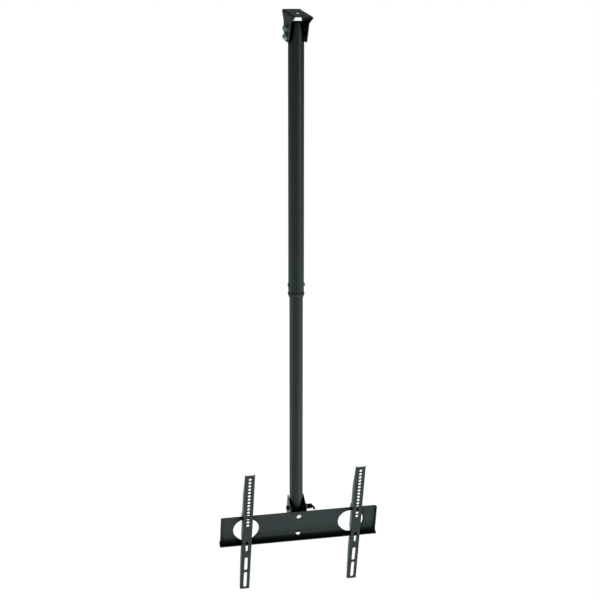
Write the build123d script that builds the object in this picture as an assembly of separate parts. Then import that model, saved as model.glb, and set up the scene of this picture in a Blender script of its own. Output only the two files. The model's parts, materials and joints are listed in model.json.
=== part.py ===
"""Telescopic ceiling mount for a flat screen, in millimetres with +Z up.

The origin is the centre of the ceiling plate's top face. X runs along the rail, the screen is on
the -Y side, and the mast hangs straight down. The pieces are drawn around the bolt that the mast
turns on, which lies on the mast's axis, and are moved to the origin as they are written.
Side views give Y backwards and Z upwards, and plan views give X and Y.
"""
from build123d import *
from math import cos, radians, sin
import os

# Angles at which the joints stand, in degrees
CEILING_SLOPE = 8.5         # the ceiling falls towards the screen side
SCREEN_TILT = 13.4          # the screen faces down by this much

# Ceiling bracket, one folded sheet
BRACKET_WIDTH = 61.5        # across the outsides of the flanges
BRACKET_SHEET = 3.0
BRACKET_BEND = 3.0          # inside the folds
PLATE_FRONT = 90.0          # plate ahead of the pivot bolt
PLATE_BACK = 67.0
PLATE_HEIGHT = 50.0         # plate's top face above the pivot bolt
PLATE_SKIRT = 6.0           # depth of the flanges at the plate's ends
KNEE_HEIGHT = 17.5          # the flanges flare out above this height
KNEE_REACH = 46.5
KNEE_RADIUS = 20.0
FLANGE_DROP = 41.0
FLANGE_FOOT = 25.0          # half the flange's depth at its foot
FLANGE_FOOT_RADIUS = 13.0
LOCK_DROP = 26.0            # lock bolt below the pivot bolt
SLOPE_LIMIT = 30.0          # either way, set by the lock bolt's curved slot
LOCK_SLOT_PLAY = 0.4
PLATE_SLOT_LENGTH = 37.0
PLATE_SLOT_WIDTH = 13.0
CEILING_HOLE = 11.0
CEILING_HOLE_SPACING = 120.0

# Bolts of the bracket
BOLT = 10.0
BOLT_FLATS = 17.0
BOLT_HEAD = 6.4
NUT_HEIGHT = 8.0
BOLT_END = 4.0              # thread that stands out of the nut
WASHER = 21.0
WASHER_SHEET = 2.0
SPACER = 24.0               # hollowed spacers between the flanges and the tube
CHAMFER = 0.8

# Mast
OUTER_TUBE = 51.0
OUTER_WALL = 2.0
OUTER_TOP = 23.0            # outer tube above the pivot bolt
OUTER_DROP = 834.5          # and below it
INNER_TUBE = 44.0
INNER_WALL = 2.0
INNER_DROP = 600.0          # top end of the inner tube below the pivot bolt
TILT_DROP = 1565.0          # tilt bolt below the pivot bolt
INNER_END = 20.0            # inner tube below the tilt bolt
RUNNING_GAP = 0.05          # radial, between round pieces that turn or slide
FACE_GAP = 0.05             # between flat faces that turn on each other

# Collar under the outer tube and bush on the inner tube
COLLAR = 54.0
COLLAR_RIM = 6.5
COLLAR_RIM_ROUND = 2.0      # lower edge of the rim
COLLAR_TOP_ROUND = 1.0      # and its upper edge, under the tube
COLLAR_NOSE = 10.0
COLLAR_NOSE_WIDTH = 46.0
COLLAR_SLEEVE = 15.0
BUSH_LENGTH = 60.0
BUSH_LIP = 3.0

# Clamp screws near the foot of the outer tube
CLAMP_RISE = 23.5           # screws above the tube's lower end
CLAMP_SCREW = 8.0
CLAMP_TIP_GAP = 0.3
LOW_HEAD = 16.0
LOW_HEAD_HEIGHT = 1.0
DOME_HEAD = 12.5
DOME_HEAD_HEIGHT = 2.4
SOCKET_FLATS = 4.0
SOCKET_DEPTH = 2.5

# Tilt joint
EAR_SHEET = 3.0
EAR_BEND = 3.0
EAR_GAP = 48.0              # between the two ears
EAR_BACK = 20.0             # ears behind the tilt bolt
EAR_RISE = 40.0             # and above it
EAR_CORNER = 16.0
EAR_FALL = 22.0             # straight back edge below the tilt bolt
WEB_TOP = 46.0              # web on the rail's back, from the windows' centre line
WEB_BOTTOM = -18.0
SADDLE_WASHER = 34.0
TILT_BOLT = 8.0
TILT_BOLT_FLATS = 13.0
TILT_BOLT_HEAD = 6.5
TILT_SPACER = 21.0
TILT_SPACER_LENGTH = 8.5

# Clamping lever on the tilt bolt
LEVER_HUB = 13.0
LEVER_HUB_LENGTH = 19.0
LEVER_HUB_ROUND = 2.5
LEVER_LENGTH = 17.0
LEVER_ROOT = 7.0
LEVER_TIP = 5.5
LEVER_RAKE = 57.0           # degrees out of the plane across the bolt
LEVER_SEAT = 5.0            # solid end of the hub beyond the bolt

# Rail, one pressed sheet: heights are from the windows' centre line
RAIL_SHEET = 2.5
RAIL_LENGTH = 530.0
RAIL_TOP = 49.5
RAIL_BOTTOM = -45.0
RAIL_AHEAD = 45.0           # rail's front face ahead of the tilt bolt
RAIL_BELOW = 38.9           # windows' centre line below the tilt bolt
LIP_BEND = 15.0
LIP_AHEAD = 20.0            # lip's edge ahead of the front face
LIP_OVERHANG = 1.5          # lip beyond each curled end
LIP_LENGTH = RAIL_LENGTH + 2 * LIP_OVERHANG
END_BEND = 5.5
END_AHEAD = 8.0
END_BOTTOM = -33.0
RELIEF = 3.0                # notch between each curled end and the lip
WINDOW_LENGTH = 86.0
WINDOW_HEIGHT = 76.0
WINDOW_SPACING = 356.0
CENTRE_HOLE = 16.5
CENTRE_HOLE_TOP = 28.9
CENTRE_HOLE_BOTTOM = -28.7

# Screen arms: heights are from the windows' centre line
ARM_SHEET = 2.0
ARM_BEND = 1.0
ARM_WIDTH = 32.0
ARM_TOP = 221.5
ARM_BOTTOM = -217.0
ARM_AHEAD = 24.0            # arm's front face ahead of the rail's front face
ARM_TOP_DEPTH = 13.0
ARM_FULL_DEPTH = 140.0      # flanges are full depth below this height
ARM_LOWER_DEPTH = 20.0
ARM_TAPER = -110.0          # and taper below this one
ARM_BOTTOM_DEPTH = 8.0
ARM_GAP = 0.3               # clear of the rail all round
HOOK_SHEET = 6.0            # hook behind the rail's top edge
HOOK_FALL = 10.0
HOOK_RISE = 9.0
NECK_RISE = 7.0             # opening over the rail's lip, above the lip
LEFT_ARM = -178.0
RIGHT_ARM = 192.0
ARM_HOLE = 9.5
ARM_HOLE_PITCH = 12.5
ARM_HOLE_COUNT = 15
ARM_HOLE_TOP = 206.5
TEAR_TOP = -31.0            # tapered slot in front of the rail's lip
TEAR_LENGTH = 36.0
TEAR_WIDTH = 10.0
TEAR_TIP = 6.0
SLOT_WIDTH = 10.4
MIDDLE_SLOT_TOP = -93.0
MIDDLE_SLOT_LENGTH = 50.0
BOTTOM_SLOT_TOP = -151.0
BOTTOM_SLOT_LENGTH = 59.0
ARM_SCREW = 5.0
ARM_SCREW_HEAD = 9.0
ARM_SCREW_HEAD_HEIGHT = 2.5
ARM_SCREW_CLEAR = 2.6       # under the lip
ARM_SCREW_AHEAD = 12.0      # of the rail's front face
ARM_SCREW_END = 2.0         # beyond the far flange

BRACKET = Rot(CEILING_SLOPE, 0, 0)
HEAD = Pos(0, 0, -TILT_DROP) * Rot(SCREEN_TILT, 0, 0)
RAIL = HEAD * Pos(0, -RAIL_AHEAD, -RAIL_BELOW)
PLATE_CENTRE = (PLATE_BACK - PLATE_FRONT) / 2
ORIGIN = (BRACKET * Pos(0, PLATE_CENTRE, PLATE_HEIGHT)).position

ALONG_X = Rot(0, 90, 0)     # turns a piece drawn along Z to run along X
FAR = 4 * RAIL_LENGTH       # longer than any cut needs


def rod(diameter, start, length):
    """Cylinder along Z from start upwards."""
    return Pos(0, 0, start) * Cylinder(diameter / 2, length, align=(Align.CENTER, Align.CENTER, Align.MIN))


def pipe(outside, inside, start, length):
    """Pipe along Z, given its two diameters."""
    return rod(outside, start, length) - rod(inside, start - length, 3 * length)


def drill(diameter):
    """Long cutter along X through the frame's zero."""
    return ALONG_X * rod(diameter, -FAR / 2, FAR)


def prism(flats, start, length):
    """Hexagonal prism along Z with its corners turned off at both ends."""
    body = extrude(RegularPolygon(flats / 2, 6, major_radius=False), length)
    crown = Cylinder(flats * 0.56, length, align=(Align.CENTER, Align.CENTER, Align.MIN))
    crown = chamfer(crown.edges().filter_by(GeomType.CIRCLE), CHAMFER)
    return Pos(0, 0, start) * (body & crown)


def hex_bolt(diameter, flats, head, length):
    """Bolt along Z: its head ends at zero and the shank runs up from there."""
    shank = rod(diameter, 0, length)
    shank = chamfer(shank.edges().sort_by(Axis.Z)[-1], CHAMFER)
    return prism(flats, -head, head) + shank


def rounded_outline(*corners):
    """Closed outline through corners, each given as its two places and its radius."""
    face = make_face(Polyline(*[(across, up) for across, up, _ in corners], close=True))
    for across, up, radius in corners:
        if radius:
            corner = face.vertices().sort_by_distance((across, up))[0]
            face = fillet(corner, radius)
    return face


def side_blank(outline, width):
    """Plate of the given width along X with a side view as its outline."""
    return extrude(Plane.YZ * outline, width / 2, both=True)


def channel_section(width, depth, sheet, bend):
    """Channel seen end on: the web's outer face on zero and the flanges running down."""
    outside = Rectangle(width, depth, align=(Align.CENTER, Align.MAX))
    outside = fillet(outside.vertices().sort_by(Axis.Y)[-2:], bend + sheet)
    inside = Rectangle(width - 2 * sheet, depth, align=(Align.CENTER, Align.MAX))
    inside = fillet(inside.vertices().sort_by(Axis.Y)[-2:], bend)
    return outside - Pos(0, -sheet) * inside


def front_channel(width, depth, sheet, bend, front):
    """Long upright channel whose web faces forwards, its outer face at the given Y."""
    section = Rot(0, 0, 180) * channel_section(width, depth, sheet, bend)
    return Pos(0, front, 0) * extrude(section, FAR / 2, both=True)


def both_sides(piece):
    """The piece, drawn on the right, and its mirror image on the left."""
    return [piece, mirror(piece, Plane.YZ)]


def pair(piece):
    return Compound(children=both_sides(piece))


def washer_seat():
    """Inner face of the bracket's washers, just off the flanges that turn on them."""
    return BRACKET_WIDTH / 2 + FACE_GAP


# Ceiling bracket and its bolts

def flange_outline():
    """Side view of the bracket: the flanges flare from a knee out to the plate's ends."""
    skirt = PLATE_HEIGHT - PLATE_SKIRT
    return rounded_outline(
        (-PLATE_FRONT, PLATE_HEIGHT, 0), (-PLATE_FRONT, skirt, 0),
        (-KNEE_REACH, KNEE_HEIGHT, KNEE_RADIUS), (-FLANGE_FOOT, -FLANGE_DROP, FLANGE_FOOT_RADIUS),
        (FLANGE_FOOT, -FLANGE_DROP, FLANGE_FOOT_RADIUS), (KNEE_REACH, KNEE_HEIGHT, KNEE_RADIUS),
        (PLATE_BACK, skirt, 0), (PLATE_BACK, PLATE_HEIGHT, 0))


def ceiling_bracket():
    depth = PLATE_HEIGHT + FLANGE_DROP + BRACKET_WIDTH
    section = Plane.XZ * channel_section(BRACKET_WIDTH, depth, BRACKET_SHEET, BRACKET_BEND)
    channel = Pos(0, 0, PLATE_HEIGHT) * extrude(section, FAR / 2, both=True)
    body = channel & side_blank(flange_outline(), BRACKET_WIDTH)
    body -= drill(BOLT + 2 * RUNNING_GAP)
    path = CenterArc((0, 0), LOCK_DROP, -90 - SLOPE_LIMIT, 2 * SLOPE_LIMIT)
    body -= side_blank(SlotArc(path, BOLT + LOCK_SLOT_PLAY), FAR)
    plate = Pos(0, PLATE_CENTRE, PLATE_HEIGHT - 2 * BRACKET_SHEET)
    body -= plate * extrude(SlotOverall(PLATE_SLOT_LENGTH, PLATE_SLOT_WIDTH, rotation=90), 3 * BRACKET_SHEET)
    for side in (-1, 1):
        hole = rod(CEILING_HOLE, 0, 3 * BRACKET_SHEET)
        body -= plate * Pos(0, side * CEILING_HOLE_SPACING / 2, 0) * hole
    return BRACKET * body


def cross_bolt(drop):
    """Bolt through the bracket and the outer tube, with its head on the right."""
    reach = washer_seat() + WASHER_SHEET
    bolt = hex_bolt(BOLT, BOLT_FLATS, BOLT_HEAD, 2 * reach + NUT_HEIGHT + BOLT_END)
    return Pos(reach, 0, -drop) * Rot(0, -90, 0) * bolt


def cross_nut(drop):
    nut = prism(BOLT_FLATS, washer_seat() + WASHER_SHEET, NUT_HEIGHT) - rod(BOLT, 0, FAR)
    return Pos(0, 0, -drop) * Rot(0, -90, 0) * nut


def cross_washers(drop):
    return pair(Pos(0, 0, -drop) * ALONG_X * pipe(WASHER, BOLT, washer_seat(), WASHER_SHEET))


def cross_spacers(drop):
    """Spacers between the flanges and the round tube, hollowed to sit on it."""
    reach = BRACKET_WIDTH / 2 - BRACKET_SHEET - FACE_GAP
    spacer = Pos(0, 0, -drop) * ALONG_X * pipe(SPACER, BOLT, 0, reach)
    return pair(spacer - rod(OUTER_TUBE + 2 * FACE_GAP, -FAR / 2, FAR))


# Mast

def clamp_drop():
    return OUTER_DROP - CLAMP_RISE


def outer_tube():
    tube = pipe(OUTER_TUBE, OUTER_TUBE - 2 * OUTER_WALL, -OUTER_DROP, OUTER_TOP + OUTER_DROP)
    tube -= drill(BOLT)
    tube -= Pos(0, 0, -LOCK_DROP) * drill(BOLT)
    tube -= Pos(0, 0, -clamp_drop()) * drill(CLAMP_SCREW)
    return tube


def tube_collar():
    """Moulded collar: a sleeve inside the outer tube, a rim under it and a tapered nose."""
    bore = INNER_TUBE / 2 + RUNNING_GAP
    sleeve = OUTER_TUBE / 2 - OUTER_WALL - RUNNING_GAP
    nose = COLLAR_RIM + COLLAR_NOSE
    section = rounded_outline(
        (bore, COLLAR_SLEEVE, 0), (sleeve, COLLAR_SLEEVE, 0), (sleeve, 0, 0), (COLLAR / 2, 0, COLLAR_TOP_ROUND),
        (COLLAR / 2, -COLLAR_RIM, COLLAR_RIM_ROUND), (COLLAR_NOSE_WIDTH / 2, -nose, 0),
        (bore, -nose, 0))
    return Pos(0, 0, -OUTER_DROP) * revolve(Plane.XZ * section, Axis.Z)


def clamp_screw(head, head_height, dome, side):
    """Socket screw through the tube's wall: its tip stands just off the inner tube."""
    tip = INNER_TUBE / 2 + CLAMP_TIP_GAP
    end = OUTER_TUBE / 2 + head_height
    cap = rod(head, INNER_TUBE / 2, end - INNER_TUBE / 2) - ALONG_X * rod(OUTER_TUBE, -FAR / 2, FAR)
    cap = fillet(cap.edges().filter_by(GeomType.CIRCLE).sort_by(Axis.Z)[-1], dome)
    screw = cap + rod(CLAMP_SCREW, tip, end - tip - dome)
    socket = extrude(RegularPolygon(SOCKET_FLATS / 2, 6, major_radius=False), FAR)
    screw -= Pos(0, 0, end - SOCKET_DEPTH) * socket
    return Pos(0, 0, -clamp_drop()) * Rot(0, 90 * side, 0) * screw


def inner_tube():
    length = TILT_DROP + INNER_END - INNER_DROP
    tube = pipe(INNER_TUBE, INNER_TUBE - 2 * INNER_WALL, -TILT_DROP - INNER_END, length)
    return tube - Pos(0, 0, -TILT_DROP) * drill(TILT_BOLT + 2 * RUNNING_GAP)


def guide_bush():
    """Bush over the inner tube's top end, with a lip that sits on the end of the tube."""
    outside = OUTER_TUBE - 2 * OUTER_WALL - 2 * RUNNING_GAP
    bore = INNER_TUBE + 2 * RUNNING_GAP
    sleeve = pipe(outside, bore, -INNER_DROP - BUSH_LENGTH, BUSH_LENGTH + FACE_GAP)
    return sleeve + pipe(outside, INNER_TUBE - 2 * INNER_WALL, FACE_GAP - INNER_DROP, BUSH_LIP)


# Tilt joint

def ear_outline():
    """Side view of the tilt bracket: rounded ears over a web on the rail's back."""
    front = RAIL_SHEET - RAIL_AHEAD
    top = WEB_TOP - RAIL_BELOW
    bottom = WEB_BOTTOM - RAIL_BELOW
    return rounded_outline(
        (front, top, 0), (-EAR_CORNER, EAR_RISE, EAR_CORNER), (EAR_BACK, EAR_RISE, EAR_CORNER),
        (EAR_BACK, -EAR_FALL, EAR_CORNER), (front / 4, bottom, EAR_CORNER / 2), (front, bottom, 0))


def tilt_bracket():
    """Folded sheet: two ears beside the tube and a web that is welded to the rail."""
    front = RAIL_SHEET - RAIL_AHEAD
    width = EAR_GAP + 2 * EAR_SHEET
    body = front_channel(width, RAIL_AHEAD + 2 * EAR_RISE, EAR_SHEET, EAR_BEND, front)
    body &= side_blank(ear_outline(), width)
    body -= drill(TILT_BOLT)
    hole = Rot(90, 0, 0) * Cylinder(CENTRE_HOLE / 2, 4 * EAR_SHEET)
    body -= Pos(0, front, CENTRE_HOLE_TOP - RAIL_BELOW) * hole
    return HEAD * body


def tilt_reach():
    """Half the width over the ears."""
    return EAR_GAP / 2 + EAR_SHEET


def tilt_bolt():
    """Bolt with its head on the left; the lever turns on its other end."""
    length = 2 * tilt_reach() + TILT_SPACER_LENGTH + LEVER_HUB_LENGTH - LEVER_SEAT
    bolt = hex_bolt(TILT_BOLT, TILT_BOLT_FLATS, TILT_BOLT_HEAD, length)
    return HEAD * Pos(-tilt_reach(), 0, 0) * ALONG_X * bolt


def tilt_spacer():
    spacer = pipe(TILT_SPACER, TILT_BOLT, tilt_reach(), TILT_SPACER_LENGTH)
    spacer = chamfer(spacer.edges().filter_by(GeomType.CIRCLE), CHAMFER)
    return HEAD * ALONG_X * spacer


def saddle_washers():
    """Washers between the tube and the ears, hollowed to sit on the tube."""
    washer = ALONG_X * pipe(SADDLE_WASHER, TILT_BOLT + 2 * RUNNING_GAP, 0, EAR_GAP / 2 - FACE_GAP)
    return Pos(0, 0, -TILT_DROP) * pair(washer - rod(INNER_TUBE + 2 * FACE_GAP, -FAR / 2, FAR))


def tilt_lever():
    """Clamping lever: a hub on the bolt's end and a short arm that points down and outwards."""
    hub = rod(LEVER_HUB, 0, LEVER_HUB_LENGTH)
    hub = fillet(hub.edges().sort_by(Axis.Z)[-1], LEVER_HUB_ROUND)
    arm = Solid.make_cone(LEVER_ROOT / 2, LEVER_TIP / 2, LEVER_LENGTH)
    arm = arm + Pos(0, 0, LEVER_LENGTH) * Sphere(LEVER_TIP / 2)
    arm = Pos(0, 0, LEVER_HUB_LENGTH - LEVER_SEAT) * Rot(0, 90 - LEVER_RAKE, 0) * arm
    bore = rod(TILT_BOLT + 2 * RUNNING_GAP, -1, LEVER_HUB_LENGTH - LEVER_SEAT + 1 + RUNNING_GAP)
    start = tilt_reach() + TILT_SPACER_LENGTH + FACE_GAP
    return HEAD * Pos(start, 0, 0) * ALONG_X * (hub + arm - bore)


# Rail

def quarter(bend, sheet):
    """Quarter turn of a folded sheet, centred on zero, in the first quadrant."""
    corner = Rectangle(bend + sheet, bend + sheet, align=(Align.MIN, Align.MIN))
    return (Circle(bend + sheet) - Circle(bend)) & corner


def tray():
    """Rail's face and lower lip, bent to a large radius, without the curled ends."""
    bend_height = RAIL_BOTTOM + RAIL_SHEET + LIP_BEND
    face = Pos(0, bend_height) * Rectangle(
        RAIL_SHEET, RAIL_TOP - bend_height, align=(Align.MIN, Align.MIN))
    bend = Pos(-LIP_BEND, bend_height) * mirror(quarter(LIP_BEND, RAIL_SHEET), Plane.XZ)
    lip = Pos(-LIP_BEND, RAIL_BOTTOM) * Rectangle(
        LIP_AHEAD - LIP_BEND, RAIL_SHEET, align=(Align.MAX, Align.MIN))
    return side_blank(face + bend + lip, LIP_LENGTH)


def curled_end():
    """Right end of the rail, curled forwards, from its plan view."""
    start = RAIL_LENGTH / 2 - END_BEND - RAIL_SHEET
    bend = Pos(start, -END_BEND) * quarter(END_BEND, RAIL_SHEET)
    edge = Pos(RAIL_LENGTH / 2, -END_BEND) * Rectangle(
        RAIL_SHEET, END_AHEAD - END_BEND, align=(Align.MAX, Align.MAX))
    return Pos(0, 0, END_BOTTOM) * extrude(bend + edge, RAIL_TOP - END_BOTTOM)


def rail():
    body = tray()
    start = RAIL_LENGTH / 2 - END_BEND - RAIL_SHEET
    clear = Pos(start, 0, END_BOTTOM - RELIEF) * Box(
        FAR, 2 * LIP_AHEAD, FAR, align=(Align.MIN, Align.CENTER, Align.MIN))
    notch = Pos(start - RELIEF, 0, END_BOTTOM - RELIEF) * Box(
        2 * RELIEF, 2 * LIP_AHEAD, RELIEF, align=(Align.MIN, Align.CENTER, Align.MIN))
    window = Rot(90, 0, 0) * extrude(SlotOverall(WINDOW_LENGTH, WINDOW_HEIGHT), LIP_BEND / 2, both=True)
    for cutter in (clear, notch, Pos(WINDOW_SPACING / 2, 0, 0) * window):
        for side in both_sides(cutter):
            body -= side
    for end in both_sides(curled_end()):
        body += end
    for height in (CENTRE_HOLE_TOP, CENTRE_HOLE_BOTTOM):
        body -= Pos(0, 0, height) * Rot(90, 0, 0) * Cylinder(CENTRE_HOLE / 2, LIP_BEND)
    return RAIL * body


# Screen arms

def arm_outline():
    """Side view of an arm: it hooks over the rail's top edge and opens around the lip."""
    face = -ARM_AHEAD
    seat = -ARM_GAP
    back = RAIL_SHEET + ARM_GAP
    hook = back + HOOK_SHEET
    over = RAIL_TOP + ARM_GAP
    under = RAIL_BOTTOM - ARM_GAP
    past_lip = -LIP_AHEAD - ARM_GAP
    neck = RAIL_BOTTOM + NECK_RISE
    bend_height = RAIL_BOTTOM + RAIL_SHEET + LIP_BEND
    lower = face + ARM_LOWER_DEPTH
    return rounded_outline(
        (face, ARM_TOP, 0), (face, ARM_BOTTOM, 0), (face + ARM_BOTTOM_DEPTH, ARM_BOTTOM, 0),
        (lower, ARM_TAPER, 0), (lower, under, 0), (past_lip, under, 0), (past_lip, neck, 0),
        (seat, bend_height + NECK_RISE, 0), (seat, over, 0), (back, over, 0),
        (back, RAIL_TOP - HOOK_FALL, 0), (hook, RAIL_TOP - HOOK_FALL, HOOK_SHEET / 3),
        (hook, RAIL_TOP + HOOK_RISE, HOOK_SHEET / 2), (seat, RAIL_TOP + 2 * HOOK_RISE, 0),
        (seat, ARM_FULL_DEPTH, 0), (face + ARM_TOP_DEPTH, ARM_TOP, 0))


def face_slot(top, length):
    """Cutter for a round-ended slot in the arm's face."""
    outline = SlotOverall(length, SLOT_WIDTH, rotation=90)
    return Pos(0, -ARM_AHEAD, top - length / 2) * Rot(90, 0, 0) * extrude(outline, 2 * ARM_SHEET, both=True)


def tear_slot():
    """Cutter for the tapered slot: a wide round top that narrows to a small round tip."""
    wide = Pos(0, TEAR_TOP - TEAR_WIDTH / 2) * Circle(TEAR_WIDTH / 2)
    tip = Pos(0, TEAR_TOP - TEAR_LENGTH + TEAR_TIP / 2) * Circle(TEAR_TIP / 2)
    outline = make_hull((wide + tip).edges())
    return Pos(0, -ARM_AHEAD, 0) * extrude(Plane.XZ * outline, 2 * ARM_SHEET, both=True)


def screw_height():
    return RAIL_BOTTOM - ARM_SCREW_CLEAR - ARM_SCREW / 2


def arm(centre):
    """Folded channel whose face carries the holes and slots for the screen."""
    body = front_channel(ARM_WIDTH, 2 * ARM_AHEAD, ARM_SHEET, ARM_BEND, -ARM_AHEAD)
    body &= side_blank(arm_outline(), ARM_WIDTH)
    for index in range(ARM_HOLE_COUNT):
        hole = Rot(90, 0, 0) * Cylinder(ARM_HOLE / 2, 4 * ARM_SHEET)
        body -= Pos(0, -ARM_AHEAD, ARM_HOLE_TOP - index * ARM_HOLE_PITCH) * hole
    body -= tear_slot()
    body -= face_slot(MIDDLE_SLOT_TOP, MIDDLE_SLOT_LENGTH)
    body -= face_slot(BOTTOM_SLOT_TOP, BOTTOM_SLOT_LENGTH)
    body -= Pos(0, -ARM_SCREW_AHEAD, screw_height()) * drill(ARM_SCREW)
    return RAIL * Pos(centre, 0, 0) * body


def arm_screw(centre):
    """Screw through both flanges under the rail's lip, with its head on the left."""
    shank = rod(ARM_SCREW, 0, ARM_WIDTH + ARM_SCREW_END)
    head = rod(ARM_SCREW_HEAD, -ARM_SCREW_HEAD_HEIGHT, ARM_SCREW_HEAD_HEIGHT)
    head = fillet(head.edges().sort_by(Axis.Z)[0], ARM_SCREW_HEAD_HEIGHT / 2)
    place = Pos(centre - ARM_WIDTH / 2, -ARM_SCREW_AHEAD, screw_height())
    return RAIL * place * ALONG_X * (head + shank)


PIECES = {
    "ceiling_bracket": ceiling_bracket(),
    "pivot_bolt": cross_bolt(0),
    "pivot_nut": cross_nut(0),
    "pivot_washers": cross_washers(0),
    "pivot_spacers": cross_spacers(0),
    "lock_bolt": cross_bolt(LOCK_DROP),
    "lock_nut": cross_nut(LOCK_DROP),
    "lock_washers": cross_washers(LOCK_DROP),
    "lock_spacers": cross_spacers(LOCK_DROP),
    "outer_tube": outer_tube(),
    "tube_collar": tube_collar(),
    "clamp_screw_left": clamp_screw(LOW_HEAD, LOW_HEAD_HEIGHT, LOW_HEAD_HEIGHT / 2, -1),
    "clamp_screw_right": clamp_screw(DOME_HEAD, DOME_HEAD_HEIGHT, DOME_HEAD_HEIGHT / 2, 1),
    "inner_tube": inner_tube(),
    "guide_bush": guide_bush(),
    "saddle_washers": saddle_washers(),
    "tilt_bracket": tilt_bracket(),
    "tilt_bolt": tilt_bolt(),
    "tilt_spacer": tilt_spacer(),
    "tilt_lever": tilt_lever(),
    "rail": rail(),
    "left_arm": arm(LEFT_ARM),
    "right_arm": arm(RIGHT_ARM),
    "left_arm_screw": arm_screw(LEFT_ARM),
    "right_arm_screw": arm_screw(RIGHT_ARM),
}

os.makedirs("parts", exist_ok=True)
for node, piece in PIECES.items():
    export_step(Pos(*(-ORIGIN)) * piece, f"parts/{node}.step")
    print(node, round(piece.volume), "mm3")

tilt_axis = (HEAD.position - ORIGIN) / 1000
face_drop = sin(radians(SCREEN_TILT))
face_ahead = cos(radians(SCREEN_TILT))
print("pivot, in metres:", -ORIGIN / 1000)
print("tilt axis, in metres:", tilt_axis)
print("screen side faces along: 0", -face_ahead, -face_drop)
for centre in (LEFT_ARM, RIGHT_ARM):
    print("arm face, in metres:", ((RAIL * Pos(centre, -ARM_AHEAD, 0)).position - ORIGIN) / 1000)
    top = (RAIL * Pos(centre, -ARM_AHEAD + ARM_SHEET / 2, ARM_HOLE_TOP)).position
    print("top arm hole, in metres:", (top - ORIGIN) / 1000)
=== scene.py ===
# %% [markdown]
# # Dressing a telescopic ceiling mount
#
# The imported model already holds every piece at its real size. This notebook gives it the look of
# the real thing: satin black powder coat on folded steel, bright zinc on the ceiling bolts, moulded
# plastic where the two tubes meet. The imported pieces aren't touched; where one needs a closer form,
# a new piece stands in its place. Units are metres, +Z is up, and the origin is the middle of the
# ceiling plate.

# %% Load the frame
import bpy
import json
import math
import numpy as np
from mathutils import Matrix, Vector


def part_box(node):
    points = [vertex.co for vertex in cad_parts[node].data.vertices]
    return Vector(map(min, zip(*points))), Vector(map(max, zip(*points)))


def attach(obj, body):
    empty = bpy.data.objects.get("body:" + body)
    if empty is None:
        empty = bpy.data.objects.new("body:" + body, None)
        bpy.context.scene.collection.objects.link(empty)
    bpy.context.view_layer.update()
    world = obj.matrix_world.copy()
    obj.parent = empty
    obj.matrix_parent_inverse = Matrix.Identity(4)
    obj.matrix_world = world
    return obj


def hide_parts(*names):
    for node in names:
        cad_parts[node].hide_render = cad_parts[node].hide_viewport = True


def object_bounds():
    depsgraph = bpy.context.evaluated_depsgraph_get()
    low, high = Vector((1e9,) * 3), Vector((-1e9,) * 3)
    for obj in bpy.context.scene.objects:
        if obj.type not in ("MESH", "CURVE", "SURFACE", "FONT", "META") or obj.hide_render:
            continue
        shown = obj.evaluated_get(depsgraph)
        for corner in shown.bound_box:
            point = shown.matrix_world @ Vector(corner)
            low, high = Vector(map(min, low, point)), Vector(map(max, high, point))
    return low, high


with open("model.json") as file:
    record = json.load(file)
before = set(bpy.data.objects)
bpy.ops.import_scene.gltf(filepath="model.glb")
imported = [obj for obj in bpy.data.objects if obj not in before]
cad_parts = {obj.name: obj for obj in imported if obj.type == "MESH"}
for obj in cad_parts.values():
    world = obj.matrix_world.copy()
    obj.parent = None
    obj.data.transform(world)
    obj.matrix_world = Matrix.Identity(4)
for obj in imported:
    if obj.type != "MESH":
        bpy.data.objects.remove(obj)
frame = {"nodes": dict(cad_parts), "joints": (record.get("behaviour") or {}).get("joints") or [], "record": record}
cad_low, cad_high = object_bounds()
print("the mount reaches from", tuple(cad_low), "to", tuple(cad_high))

# %% [markdown]
# ## The camera
#
# A long pole photographed from near its top looks as the catalogue shows it when the lens is long
# and the camera stands well back, at the ceiling's height, a little to the left, looking down. A
# camera at the pole's middle would be simpler, but then the ceiling plate and the rail would show
# the wrong amounts of their tops. The long lens also keeps the pole's two edges nearly parallel.

# %% Place the camera
CAMERA_TURN = math.radians(14.04)
CAMERA_FALL = math.radians(11.59)
CAMERA_DISTANCE = 4.427
CAMERA_HEIGHT = -0.001
mast_low, mast_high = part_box("outer_tube")
mast_axis = (mast_low + mast_high) / 2

camera = bpy.data.objects.new("camera", bpy.data.cameras.new("camera"))
bpy.context.scene.collection.objects.link(camera)
camera.location = (
    mast_axis.x - CAMERA_DISTANCE * math.sin(CAMERA_TURN),
    mast_axis.y - CAMERA_DISTANCE * math.cos(CAMERA_TURN),
    CAMERA_HEIGHT)
camera.rotation_euler = (math.pi / 2 - CAMERA_FALL, 0, -CAMERA_TURN)
camera.data.lens = 84
camera.data.sensor_width = 36
camera.data.shift_x = 0.0065
camera.data.clip_end = 150
bpy.context.scene.camera = camera
print("camera stands at", tuple(camera.location))

# %% [markdown]
# ## Writing shader maths as Python
#
# A node tree for a scratchy, uneven surface is mostly sums. Wrapping a socket in a small class lets
# `0.4 + 0.1 * noise` build those sums. The reflected operators make `1 - mask` work too, where
# Python meets the plain number first. Joining the nodes by hand in Blender's editor gives the same
# tree, but a sum is easier to read than its picture.


# %% A socket that can be added and multiplied
class Term:
    """A number that changes over the surface; each operator adds one Math node."""

    def __init__(self, maker, socket):
        self.maker = maker
        self.socket = socket

    def maths(self, operation, first, second):
        node = self.maker.node("ShaderNodeMath", {"operation": operation}, {0: first, 1: second})
        return Term(self.maker, node.outputs[0])

    def __add__(self, other):
        return self.maths("ADD", self, other)

    def __radd__(self, other):
        return self.maths("ADD", other, self)

    def __sub__(self, other):
        return self.maths("SUBTRACT", self, other)

    def __rsub__(self, other):
        return self.maths("SUBTRACT", other, self)

    def __mul__(self, other):
        return self.maths("MULTIPLY", self, other)

    def __rmul__(self, other):
        return self.maths("MULTIPLY", other, self)


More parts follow.
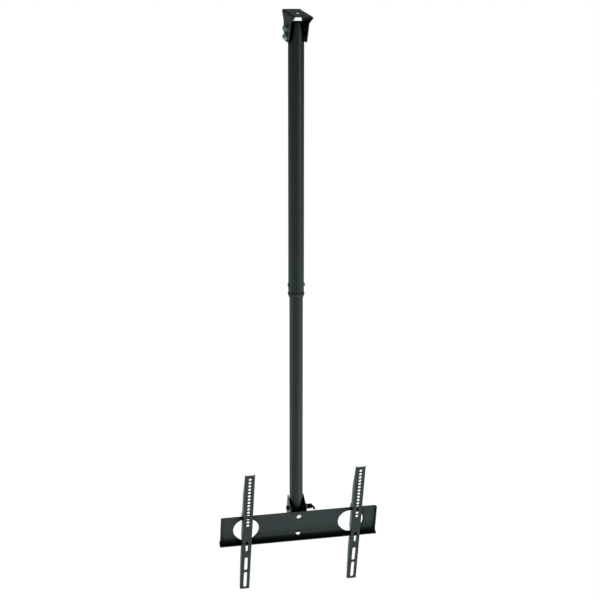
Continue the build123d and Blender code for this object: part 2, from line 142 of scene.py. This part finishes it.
# %% One method for every other node
class NodeMaker:
    """Empties a node tree and fills it again, one node at a time."""

    def __init__(self, tree):
        self.tree = tree
        self.tree.nodes.clear()

    def node(self, kind, settings=None, inputs=None):
        """Adds a node, sets its settings first, then its sockets from values or links."""
        made = self.tree.nodes.new(kind)
        for key, value in (settings or {}).items():
            setattr(made, key, value)
        for key, value in (inputs or {}).items():
            value = value.socket if isinstance(value, Term) else value
            if isinstance(value, bpy.types.NodeSocket):
                self.tree.links.new(value, made.inputs[key])
            else:
                made.inputs[key].default_value = value
        return made


# %% [markdown]
# ## The studio
#
# Black gloss shows only what it mirrors. In the photograph the faces that lean down towards the
# camera are light and everything that leans up is nearly black: they mirror a white floor and a
# dark room. So the floor is white to glossy rays and the world is dark to them, and the panels
# only add the soft bands on the tubes' two sides. Lighting the black paint with strong lamps would
# be the usual way, but it washes out the zinc and lights the inside of the rail's lip.
#
# The background is pure white to the camera alone, so that it adds no light to the object.

# %% A world that looks white and lights softly
AMBIENT = 0.08
SEEN_WHITE = 1.0
COOL = (0.80, 1.0, 1.0)
WHITE = (1.0, 1.0, 1.0)

world = bpy.data.worlds.new("studio")
bpy.context.scene.world = world
world.use_nodes = True
room = NodeMaker(world.node_tree)
ray = room.node("ShaderNodeLightPath")
soft_fill = room.node("ShaderNodeBackground", {}, {"Color": (*COOL, 1), "Strength": AMBIENT})
seen_white = room.node("ShaderNodeBackground", {}, {"Color": (*WHITE, 1), "Strength": SEEN_WHITE})
chosen = room.node("ShaderNodeMixShader", {}, {
    0: ray.outputs["Is Camera Ray"], 1: soft_fill.outputs[0], 2: seen_white.outputs[0]})
room.node("ShaderNodeOutputWorld", {}, {"Surface": chosen.outputs[0]})
print("world: ambient", AMBIENT, "seen by the camera as", SEEN_WHITE)


# %% A soft panel of light
def panel(name, place, aim, width, height, watts, spread=180):
    """A rectangular area light at a place, turned towards an aim point."""
    lamp = bpy.data.lights.new(name, "AREA")
    lamp.shape = "RECTANGLE"
    lamp.size = width
    lamp.size_y = height
    lamp.energy = watts
    lamp.color = COOL
    lamp.spread = math.radians(spread)
    holder = bpy.data.objects.new(name, lamp)
    holder.location = place
    holder.rotation_euler = (Vector(aim) - Vector(place)).to_track_quat("-Z", "Y").to_euler()
    bpy.context.scene.collection.objects.link(holder)
    print(name, watts, "W")


# %% Five weak panels
middle = (cad_low + cad_high) / 2
panel("right_panel", (3.0, -1.8, -2.8), middle, 3.4, 1.0, 24)
panel("left_panel", (-3.2, 0.3, -2.0), middle, 0.8, 1.6, 8)
panel("low_panel", (0.2, -1.9, -3.1), (0, 0, -1.6), 3.4, 0.8, 6)
panel("high_panel", (2.4, -2.4, -0.5), (0, 0, -0.45), 1.6, 0.9, 1.5, spread=60)
panel("back_panel", (0.9, 3.4, 1.0), (0, 0, -0.8), 2.2, 1.2, 2)

# %% [markdown]
# ## The floor
#
# A hanging object still needs a floor for its shadow. To the camera the floor mostly shines by
# itself, so it joins the white background with no edge, and the rest of its brightness is ordinary
# paint, which the shadow can darken. To glossy rays it is a bright sheet of a cool white, which is
# what the black coat mirrors. A lamp that is strong enough to light a floor white would light the
# mount as well.

# %% Make the floor
FLOOR_DROP = 1.5
FLOOR_HALF = 50.0
floor_height = cad_low.z - FLOOR_DROP
floor_corners = [(-1, -1), (1, -1), (1, 1), (-1, 1)]
floor_mesh = bpy.data.meshes.new("floor")
floor_mesh.from_pydata(
    [(FLOOR_HALF * x, FLOOR_HALF * y, floor_height) for x, y in floor_corners], [], [(0, 1, 2, 3)])
floor = bpy.data.objects.new("floor", floor_mesh)
bpy.context.scene.collection.objects.link(floor)
print("floor at", round(floor_height, 3))

# %% Paint the floor
GLOW = 1.04
GLOW_SHARE = 0.97
GLOSS_WHITE = 1.0

floor_material = bpy.data.materials.new("floor_paint")
floor_material.use_nodes = True
paint = NodeMaker(floor_material.node_tree)
ray = paint.node("ShaderNodeLightPath")
seen = Term(paint, ray.outputs["Is Camera Ray"])
glow = paint.node("ShaderNodeEmission", {}, {"Color": (*WHITE, 1), "Strength": GLOW})
mirrored = paint.node("ShaderNodeEmission", {}, {"Color": (*COOL, 1), "Strength": GLOSS_WHITE})
plain = paint.node("ShaderNodeBsdfDiffuse", {}, {"Color": (0.8, 0.8, 0.8, 1)})
unseen = paint.node("ShaderNodeMixShader", {}, {
    0: ray.outputs["Is Glossy Ray"], 1: plain.outputs[0], 2: mirrored.outputs[0]})
mixed = paint.node("ShaderNodeMixShader", {}, {
    0: seen * GLOW_SHARE, 1: unseen.outputs[0], 2: glow.outputs[0]})
paint.node("ShaderNodeOutputMaterial", {}, {"Surface": mixed.outputs[0]})
floor.data.materials.append(floor_material)
print("floor paint: shines by itself for", GLOW_SHARE, "of what the camera sees")

# %% [markdown]
# ## A finish
#
# Every finish of the mount is made the same way: noise that is fixed to the piece varies a colour
# and a roughness, a faint bump carries the grain, and a bevel in the normals rounds the edges that
# a folding press or a mould would round. So one class holds those steps. Bevels in the mesh would
# be truer, but every cut edge of the arms' holes would need one.


# %% The steps that finishes share
class Finish(NodeMaker):
    """A material that ends in one Principled shader."""

    def __init__(self, name):
        self.material = bpy.data.materials.new(name)
        self.material.use_nodes = True
        super().__init__(self.material.node_tree)

    def noise(self, per_metre, detail=2.0, stretch=(1, 1, 1)):
        """Noise fixed to the piece, as many grains to the metre as asked, stretched along an axis."""
        where = self.node("ShaderNodeTexCoord")
        turned = self.node("ShaderNodeMapping", {}, {
            "Vector": where.outputs["Object"], "Scale": stretch})
        grain = self.node("ShaderNodeTexNoise", {}, {
            "Vector": turned.outputs[0], "Scale": per_metre, "Detail": detail})
        return Term(self, grain.outputs["Fac"])

    def tint(self, amount, first, second):
        """A colour between two, by an amount that changes over the surface."""
        mix = self.node("ShaderNodeMix", {"data_type": "RGBA"}, {
            0: amount, 6: (*first, 1), 7: (*second, 1)})
        return mix.outputs[2]

    def relief(self, height, depth, edge):
        """Bump of the given depth in metres, over edges that are rounded by the given radius."""
        rounded = self.node("ShaderNodeBevel", {"samples": 4}, {"Radius": edge})
        bump = self.node("ShaderNodeBump", {}, {
            "Height": height, "Distance": depth, "Strength": 1.0, "Normal": rounded.outputs[0]})
        return bump.outputs[0]

    def openness(self, reach):
        """How much open room a point sees around it, from 0 in a crack to 1 on a bare face."""
        around = self.node("ShaderNodeAmbientOcclusion", {"samples": 8}, {"Distance": reach})
        return Term(self, around.outputs["AO"])

    def paint(self, lit=None, **sockets):
        """Ends the material in one Principled shader, which fades into a painted shade of near-black diffuse where
        lit falls to 0.
        """
        named = {key.replace("_", " "): value for key, value in sockets.items()}
        shader = self.node("ShaderNodeBsdfPrincipled", {}, named)
        if lit is not None:
            # Painted shade: a near-black diffuse that takes the coat's place in recesses.
            painted_shade = self.node("ShaderNodeBsdfDiffuse", {}, {"Color": (0.002, 0.003, 0.003, 1)})
            shader = self.node("ShaderNodeMixShader", {}, {
                0: lit, 1: painted_shade.outputs[0], 2: shader.outputs[0]})
        self.node("ShaderNodeOutputMaterial", {}, {"Surface": shader.outputs[0]})
        print("finish:", self.material.name, "nodes:", len(self.tree.nodes))
        return self.material


# %% [markdown]
# ## Powder coat
#
# The folded sheets and both tubes are powder coated: plastic dust is melted onto the steel, which
# leaves a faint orange peel, a millimetre or so from crest to crest. The colour is a black with a
# touch of green. A flat black would look like a hole in the picture, so the roughness wanders a
# little, and a rounded edge catches the light. What is seen of black gloss is only what it mirrors,
# and in a narrow recess that is more black, so the coat fades into a painted shade, a near-black
# diffuse, where a point has little open room around it. That painted shade is a cheap stand-in
# for many bounces between two glossy walls.


# %% Black powder coat
def powder_coat():
    """Painted shade: fades to near-black by 1.7 times the open room within 4 cm, less 0.6; peel and cloud roughen
    it.
    """
    finish = Finish("black_coat")
    peel = finish.noise(per_metre=700, detail=1.5)
    cloud = finish.noise(per_metre=14, detail=3.0)
    return finish.paint(
        # Painted shade in recesses: where this share falls, the coat gives way to near-black.
        lit=1.7 * finish.openness(reach=0.04) - 0.6,
        Base_Color=finish.tint(cloud, (0.007, 0.010, 0.010), (0.009, 0.013, 0.013)),
        Roughness=0.33 + 0.10 * cloud + 0.05 * peel,
        Normal=finish.relief(peel, depth=0.00002, edge=0.0006))


# %% [markdown]
# ## Zinc plate, moulded plastic and blackened screws
#
# Bright zinc is a metal with a soft, slightly streaky shine. The collar, bush, spacers and lever
# are moulded plastic with a fine even grain. The tilt bolt and clamp screws are blackened steel,
# smoother than the paint around them, with a dull sheen. Scanned pictures of the real surfaces
# would carry their true marks, but noise stays sharp from any distance and needs no file.


# %% Zinc
def zinc_plate():
    """Noise drawn out along the bolts' length roughens the shine in streaks."""
    finish = Finish("zinc")
    streak = finish.noise(per_metre=420, detail=3.0, stretch=(0.15, 1, 1))
    cloud = finish.noise(per_metre=90)
    return finish.paint(
        Base_Color=finish.tint(cloud, (0.55, 0.57, 0.57), (0.68, 0.70, 0.70)),
        Metallic=0.7,
        Roughness=0.26 + 0.16 * streak,
        Normal=finish.relief(streak, depth=0.00003, edge=0.0004))


# %% Moulded plastic
def moulded_plastic():
    """A fine grain, the same in every direction, roughens a dark grey."""
    finish = Finish("black_plastic")
    grain = finish.noise(per_metre=1600, detail=1.0)
    cloud = finish.noise(per_metre=40)
    return finish.paint(
        Base_Color=finish.tint(cloud, (0.011, 0.012, 0.012), (0.016, 0.017, 0.017)),
        Roughness=0.46 + 0.12 * grain,
        Normal=finish.relief(grain, depth=0.00004, edge=0.0008))


# %% Blackened steel
def blackened_steel():
    """One coarse noise both lightens and roughens the black, as handling does."""
    finish = Finish("black_screw")
    wear = finish.noise(per_metre=260, detail=3.0)
    return finish.paint(
        Base_Color=finish.tint(wear, (0.010, 0.010, 0.010), (0.030, 0.029, 0.028)),
        Metallic=0.6,
        Roughness=0.34 + 0.14 * wear,
        Normal=finish.relief(wear, depth=0.00003, edge=0.0005))


# %% [markdown]
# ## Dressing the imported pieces
#
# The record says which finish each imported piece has, so one loop dresses them all. It runs before
# any piece is copied, so that the copies below carry their finish with them.

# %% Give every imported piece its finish
finishes = {
    "black_coat": powder_coat(), "zinc": zinc_plate(),
    "black_plastic": moulded_plastic(), "black_screw": blackened_steel()}
slot_of = {row["node"]: row["material_slot"] for row in frame["record"]["subparts"]}

for node_name, node_object in frame["nodes"].items():
    node_object.data.materials.clear()
    node_object.data.materials.append(finishes[slot_of[node_name]])
print("dressed", len(slot_of), "nodes")

# %% [markdown]
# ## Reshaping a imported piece
#
# A few forms are seen more closely in the photograph than the solids give them. A copy of the
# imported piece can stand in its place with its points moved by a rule. A rule is easiest to say in
# a frame that leans with the piece, where a place is how far it is to the right, behind and above
# a chosen point, in millimetres. Building these pieces afresh would be simpler to read, but the
# copy keeps every hole and edge where the screws and the screen need them.


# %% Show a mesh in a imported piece's place
def stand_in(name, node_name, body, mesh):
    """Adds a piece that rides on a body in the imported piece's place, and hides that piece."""
    piece = bpy.data.objects.new(name, mesh)
    bpy.context.scene.collection.objects.link(piece)
    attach(piece, body)
    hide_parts(node_name)
    print(piece.name, "points:", len(mesh.vertices))


# %% Move a copy's points by a rule
def reshape(node_name, body, rule, axes, zero):
    """A point is its offset from zero, turned into the axes, changed by the rule, turned back."""
    mesh = frame["nodes"][node_name].data.copy()
    points = np.empty(3 * len(mesh.vertices), dtype=np.float32)
    mesh.vertices.foreach_get("co", points)
    right, behind, up = axes @ (points.reshape(-1, 3).T - zero[:, None]) * 1000
    moved = np.array(rule(right, behind, up)) / 1000
    points = (axes.T @ moved + zero[:, None]).T
    mesh.vertices.foreach_set("co", points.astype(np.float32).ravel())
    mesh.update()
    stand_in(node_name + "_shown", node_name, body, mesh)


# %% The rail's own frame and the bracket's
SCREEN_TILT = math.radians(13.4)
CEILING_SLOPE = math.radians(8.5)
RAIL_AHEAD = 0.045
RAIL_BELOW = 0.0389


def leaning_axes(angle):
    """Unit vectors to the right, behind and above, turned about X by the angle."""
    return np.array((
        (1, 0, 0),
        (0, math.cos(angle), math.sin(angle)),
        (0, -math.sin(angle), math.cos(angle))))


joint_place = {row["name"]: np.array(row.get("pos_m", (0, 0, 0))) for row in frame["joints"]}
rail_axes = leaning_axes(SCREEN_TILT)
rail_zero = joint_place["screen_tilt"] - RAIL_AHEAD * rail_axes[1] - RAIL_BELOW * rail_axes[2]
bracket_axes = leaning_axes(CEILING_SLOPE)
bracket_zero = joint_place["ceiling_pivot"]
print("the rail's windows are centred at height", round(float(rail_zero[2]), 4))
print("the bracket leans about", tuple(bracket_zero))

# %% [markdown]
# ### A deeper lip
#
# The rail's lower edge hangs four and a half millimetres lower than in the solids, and its bend is
# a little wider. Moving the lip alone would leave a step where the bend begins, so every height
# below that is stretched by one factor. The curled ends reach down to the lip.

# %% Rail with the deeper lip
BEND_START = -27.5
BEND_DEPTH = 17.5
LIP_FALL = 4.5
LIP_REACH = 0.5
CURL_START = 256
CURL_FOOT = -33.5
CURL_FALL = 6.0
CURL_SHARE = 0.3143


def deeper_lip(right, behind, up):
    """Falls in proportion to the depth below the bend's start, and more on the curled ends."""
    below = np.clip(BEND_START - up, 0, BEND_DEPTH) / BEND_DEPTH
    at_end = (np.abs(right) > CURL_START) & (below > 0) & (up > CURL_FOOT)
    fall = np.where(at_end, CURL_FALL * below / CURL_SHARE, LIP_FALL * below)
    reach = np.where(at_end, 0, LIP_REACH * below)
    return right, behind - reach, up - fall


reshape("rail", "head", deeper_lip, rail_axes, rail_zero)

# %% [markdown]
# ### Arms and their screws
#
# The holes and slots in an arm's face sit two and a half millimetres lower than in the solids. The
# hook stays on the rail's top edge, and the notch for the lip goes down with the lip, as does the
# lower end of the tapered slot beside it. The flanges run out to low horns at the top. Stretching
# the whole arm would be one line, but it would make the round holes oval, so the face's holes move
# as one block.

# %% Arms to match
FACE_BEHIND = -21.5
FACE_FALL = 2.5
NOTCH_TOP = -44
ARM_FOOT = -90
FLANGE_HEIGHTS = (-56, -38, -20.5, 30, 70, 140)
FLANGE_FALLS = (LIP_FALL, LIP_FALL, FACE_FALL, 0, 0, FACE_FALL)
HORN_HEIGHT = 200
HORN_FRONT = -21.9
ARM_FRONT = -24
HORN_SHARE = 0.55


def lower_face(right, behind, up):
    """The upper face and the foot fall together, all else by height, and the horns lean forward."""
    by_height = np.interp(up, FLANGE_HEIGHTS, FLANGE_FALLS)
    on_face = (behind < FACE_BEHIND) & (up > NOTCH_TOP)
    fall = np.where(on_face | (up < ARM_FOOT), FACE_FALL, by_height)
    horn = (up > HORN_HEIGHT) & (behind > HORN_FRONT)
    return right, np.where(horn, ARM_FRONT + HORN_SHARE * (behind - ARM_FRONT), behind), up - fall


def lower_screw(right, behind, up):
    """The screw falls as far as the lip that it holds."""
    return right, behind, up - LIP_FALL


for side in ("left", "right"):
    reshape(side + "_arm", side + "_arm_body", lower_face, rail_axes, rail_zero)
    reshape(side + "_arm_screw", side + "_arm_body", lower_screw, rail_axes, rail_zero)

# %% [markdown]
# ### A longer web
#
# Seen through the rail's lower centre hole, the tilt bracket's web covers the upper part. Its
# lower edge is moved down, and the ears' sloping back edges follow it. The ears rise to a narrow
# crest at the back, and their front edges run straight from it down to the rail. A new bracket
# would need its folds and bolt holes cut again; here they stay as they are.

# %% Tilt bracket with the longer web
CORNER_BEHIND, CORNER_UP = 49, 62.9
CREST_BEHIND, CREST_UP = 61, 74.9
CORNER_TIGHTER = 4
SLOPE_FOOT = (2.5, 46.2)
SLOPE_RISE, SLOPE_RUN = 32.9, 54.5
WEB_TOP = 46
WEB_START = -8
WEB_SPREAD = 8
WEB_FALL = 14.0


def sloped_ears(right, behind, up):
    """Tightens the ears' rear top corner, then lays their front edge on one straight slope."""
    in_corner = (behind > CORNER_BEHIND) & (up > CORNER_UP)
    behind_new = np.where(in_corner, CREST_BEHIND + (behind - CORNER_BEHIND) / CORNER_TIGHTER, behind)
    up_new = np.where(in_corner, CREST_UP + (up - CORNER_UP) / CORNER_TIGHTER, up)
    slope = SLOPE_FOOT[1] + (behind_new - SLOPE_FOOT[0]) * SLOPE_RISE / SLOPE_RUN
    up_new = np.where(up_new > WEB_TOP, np.minimum(up_new, slope), up_new)
    return right, behind_new, up_new - WEB_FALL * np.clip((WEB_START - up_new) / WEB_SPREAD, 0, 1)


reshape("tilt_bracket", "head", sloped_ears, rail_axes, rail_zero)

# %% [markdown]
# ### Flared flanges
#
# The flanges of the ceiling bracket pinch in quickly under the plate, and the plate's slot ends
# nearer to the pivot. The rule is said in the bracket's frame, which slopes with the ceiling: how
# far a point is behind the pivot bolt, and how far above it. A lattice around the bracket could
# squeeze it too, but it would pull the bolt holes along.

# %% Ceiling bracket with the pinched flanges
PINCH = 7.0
PINCH_HEIGHT = 22.0
PINCH_SPREAD = 16
PINCH_FROM = 30
PLATE_UNDER = 46
PLATE_MIDDLE = -11.5
SLOT_FRONT = PLATE_MIDDLE - 18.5
SLOT_HALF_WIDTH = 6.7
SLOT_HALF_LENGTH = 19
SLOT_SHARE = 0.86


def pinched(right, behind, up):
    """Flange edges move in most at one height, and the slot shortens towards its front end."""
    at_knee = np.clip(1 - np.abs(up - PINCH_HEIGHT) / PINCH_SPREAD, 0, 1)
    at_knee = at_knee * (np.abs(behind) > PINCH_FROM)
    in_slot = (up > PLATE_UNDER) & (np.abs(right) < SLOT_HALF_WIDTH)
    in_slot = in_slot & (np.abs(behind - PLATE_MIDDLE) < SLOT_HALF_LENGTH)
    behind = behind - np.sign(behind) * PINCH * at_knee
    behind = np.where(in_slot, SLOT_FRONT + SLOT_SHARE * (behind - SLOT_FRONT), behind)
    return right, behind, up


reshape("ceiling_bracket", "ceiling", pinched, bracket_axes, bracket_zero)

# %% [markdown]
# ## Clamping lever
#
# The lever is one moulded piece: a round hub that sits on the bolt and an arm that leaves it, bends
# down and ends in a small ball. Both are the same kind of surface, a radius around a centre line,
# given as a function of the way along it. The hub's centre line is the bolt, and the arm's is part
# of a circle, so the arm curves as it falls. Sculpting would look as soft, but a radius along a
# line keeps the sizes.


# %% A round bar along a curved line
def bar_along(places, radii, steps):
    """A point is its place plus the radius times cosine and sine of the turn, across the line."""
    ahead = np.gradient(places, axis=0)
    ahead /= np.linalg.norm(ahead, axis=1)[:, None]
    across = np.cross(ahead, (0.0, 1.0, 0.0))
    across /= np.linalg.norm(across, axis=1)[:, None]
    over = np.cross(ahead, across)
    turn = np.linspace(0, 2 * np.pi, steps, endpoint=False)
    ring = np.cos(turn)[None, :, None] * across[:, None] + np.sin(turn)[None, :, None] * over[:, None]
    return (places[:, None] + radii[:, None, None] * ring).reshape(-1, 3)


def ring_faces(rings, steps):
    """Four-sided faces between neighbouring rings, and a cap on the first and last."""
    index = np.arange(rings * steps).reshape(rings, steps)
    near, far = index[:-1], index[1:]
    quads = np.stack((near, np.roll(near, -1, 1), np.roll(far, -1, 1), far), axis=-1).reshape(-1, 4)
    return quads.tolist() + [index[0, ::-1].tolist(), index[-1].tolist()]


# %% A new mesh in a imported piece's place
def put_piece(name, node_name, body, points, faces, sharp):
    """Smooths the faces, and keeps an edge where they turn by more than sharp degrees."""
    mesh = bpy.data.meshes.new(name)
    mesh.from_pydata(points.tolist(), [], faces)
    mesh.shade_smooth()
    mesh.materials.append(finishes[slot_of[node_name]])
    mesh.set_sharp_from_angle(angle=math.radians(sharp))
    stand_in(name, node_name, body, mesh)


# %% The lever's hub
STEPS = 40
HUB_LENGTH = 0.0190
HUB_RADIUS = 0.0083
HUB_BEVEL = 0.0006
HUB_ROUND = 0.0030
QUARTER_STEPS = 9

tilt_axis = joint_place["screen_tilt"]
hub_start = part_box("tilt_lever")[0].x
hub_end = hub_start + HUB_LENGTH
quarter = np.linspace(0, np.pi / 2, QUARTER_STEPS)
hub_x = np.concatenate((
    (hub_start, hub_start + HUB_BEVEL), hub_end - HUB_ROUND + HUB_ROUND * np.sin(quarter)))
hub_radii = np.concatenate((
    (HUB_RADIUS - HUB_BEVEL, HUB_RADIUS), HUB_RADIUS - HUB_ROUND + HUB_ROUND * np.cos(quarter)))
hub_places = np.column_stack((
    hub_x, np.full_like(hub_x, tilt_axis[1]), np.full_like(hub_x, tilt_axis[2])))
hub_points = bar_along(hub_places, hub_radii, STEPS)
hub_faces = ring_faces(len(hub_x), STEPS)
print("hub rings:", len(hub_x))

# %% The lever's arm
BEND_RADIUS = 0.0155
BEND_ANGLE = math.radians(62)
BEND_STEPS = 14
ARM_INSIDE = 0.007
ARM_ABOVE = 0.001
ROOT_RADIUS = 0.0044
TIP_RADIUS = 0.0037
TIP_RUN = 0.003
BALL_START, BALL_END, BALL_STEPS = 0.15, 1.45, 7

bend = np.linspace(0, BEND_ANGLE, BEND_STEPS)
arm_start = np.array((hub_end - ARM_INSIDE, tilt_axis[1], tilt_axis[2] + ARM_ABOVE))
arm_line = arm_start + BEND_RADIUS * np.column_stack((np.sin(bend), 0 * bend, np.cos(bend) - 1))
last_way = np.array((math.cos(BEND_ANGLE), 0, -math.sin(BEND_ANGLE)))
ball = np.linspace(BALL_START, BALL_END, BALL_STEPS)
tip_line = arm_line[-1] + last_way * (TIP_RUN + TIP_RADIUS * np.sin(ball))[:, None]
arm_places = np.concatenate((arm_line, tip_line))
arm_radii = np.concatenate((
    np.linspace(ROOT_RADIUS, TIP_RADIUS, BEND_STEPS), TIP_RADIUS * np.cos(ball)))
arm_points = bar_along(arm_places, arm_radii, STEPS)
arm_faces = [
    [corner + len(hub_points) for corner in face] for face in ring_faces(len(arm_places), STEPS)]
print("lever reaches", round(float(arm_points[:, 0].max() - hub_start), 4), "m from the spacer")

# %% Build the lever
LEVER_SHARP = 38
put_piece(
    "lever_shown", "tilt_lever", "lever",
    np.concatenate((hub_points, arm_points)), hub_faces + arm_faces, LEVER_SHARP)

# %% [markdown]
# ## Bolts with real threads
#
# A bolt is one surface: its radius as a function of the turn around it and of the way along it. On
# the head the radius follows a hexagon, which is the flat's distance divided by the cosine of the
# turn measured from the nearest flat. On the thread it falls and rises once in each pitch, and the
# place of the crest also moves one pitch in each turn, which makes the ridge a helix. The Screw
# modifier draws a thread as well, but then head, shank and thread aren't one closed surface.

# %% Sizes of the bolts
FLAT, SHANK, PITCH, THREAD_DEPTH = 0.0085, 0.005, 0.0015, 0.0009
HEAD_HEIGHT, PACKED_HEAD_HEIGHT, BOLT_LENGTH = 0.0032, 0.0064, 0.0797
THREAD_START = BOLT_LENGTH - 0.0155
THREAD_RUN_IN = 0.002
CROWN, CROWN_SLOPE = 0.0086, 0.6
END_BEVEL, END_CUT = 0.0012, 0.0009
SEXTANT = np.pi / 3
print("thread:", round(1000 * (BOLT_LENGTH - THREAD_START), 1), "mm long")


# %% Radius of a bolt
def bolt_radius(turn, way):
    """Hexagon cut by a cone on the head; on the shank, less the thread's depth times its fall."""
    from_flat = (turn + SEXTANT / 2) % SEXTANT - SEXTANT / 2
    hexagon = np.minimum(FLAT / np.cos(from_flat), CROWN + CROWN_SLOPE * way)
    crest = np.abs((way / PITCH - turn / (2 * np.pi)) % 1 * 2 - 1)
    run_in = np.clip((way - THREAD_START) / THREAD_RUN_IN, 0, 1)
    end_bevel = np.clip((way - BOLT_LENGTH + END_BEVEL) / END_BEVEL, 0, 1)
    threaded = SHANK - run_in * THREAD_DEPTH * crest - END_CUT * end_bevel
    return np.where(way <= HEAD_HEIGHT, hexagon, threaded)


# %% Build both bolts of the bracket
BOLT_STEPS = 48
BOLT_SHARP = 32
HEAD_RINGS = (0, 0.0006, 0.0012, HEAD_HEIGHT)
SHANK_RINGS = (HEAD_HEIGHT + 1e-6, 0.03)
THREAD_RINGS = 80
ways = np.concatenate((
    HEAD_RINGS, SHANK_RINGS, np.linspace(THREAD_START, BOLT_LENGTH, THREAD_RINGS)))
turns = np.linspace(0, 2 * np.pi, BOLT_STEPS, endpoint=False)
radius = bolt_radius(turns[None, :], ways[:, None])

for bolt_name in ("pivot_bolt", "lock_bolt"):
    low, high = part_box(bolt_name)
    head_face = high.x - PACKED_HEAD_HEIGHT + HEAD_HEIGHT
    grid = np.stack((
        np.broadcast_to(head_face - ways[:, None], radius.shape),
        (low.y + high.y) / 2 + radius * np.cos(turns),
        (low.z + high.z) / 2 + radius * np.sin(turns)), axis=-1)
    put_piece(
        bolt_name + "_shown", bolt_name, "mast",
        grid.reshape(-1, 3), ring_faces(len(ways), BOLT_STEPS), BOLT_SHARP)
    print(bolt_name, "ends at", round(float(grid[..., 0].min()), 5), "packed", round(low.x, 5))

# %% [markdown]
# ## Closing
#
# The Standard view shows each colour about as it is written, and keeps the white background pure
# white, which the default view would turn grey.

# %% Colour management
bpy.context.scene.view_settings.view_transform = "Standard"
print("view:", bpy.context.scene.view_settings.view_transform)
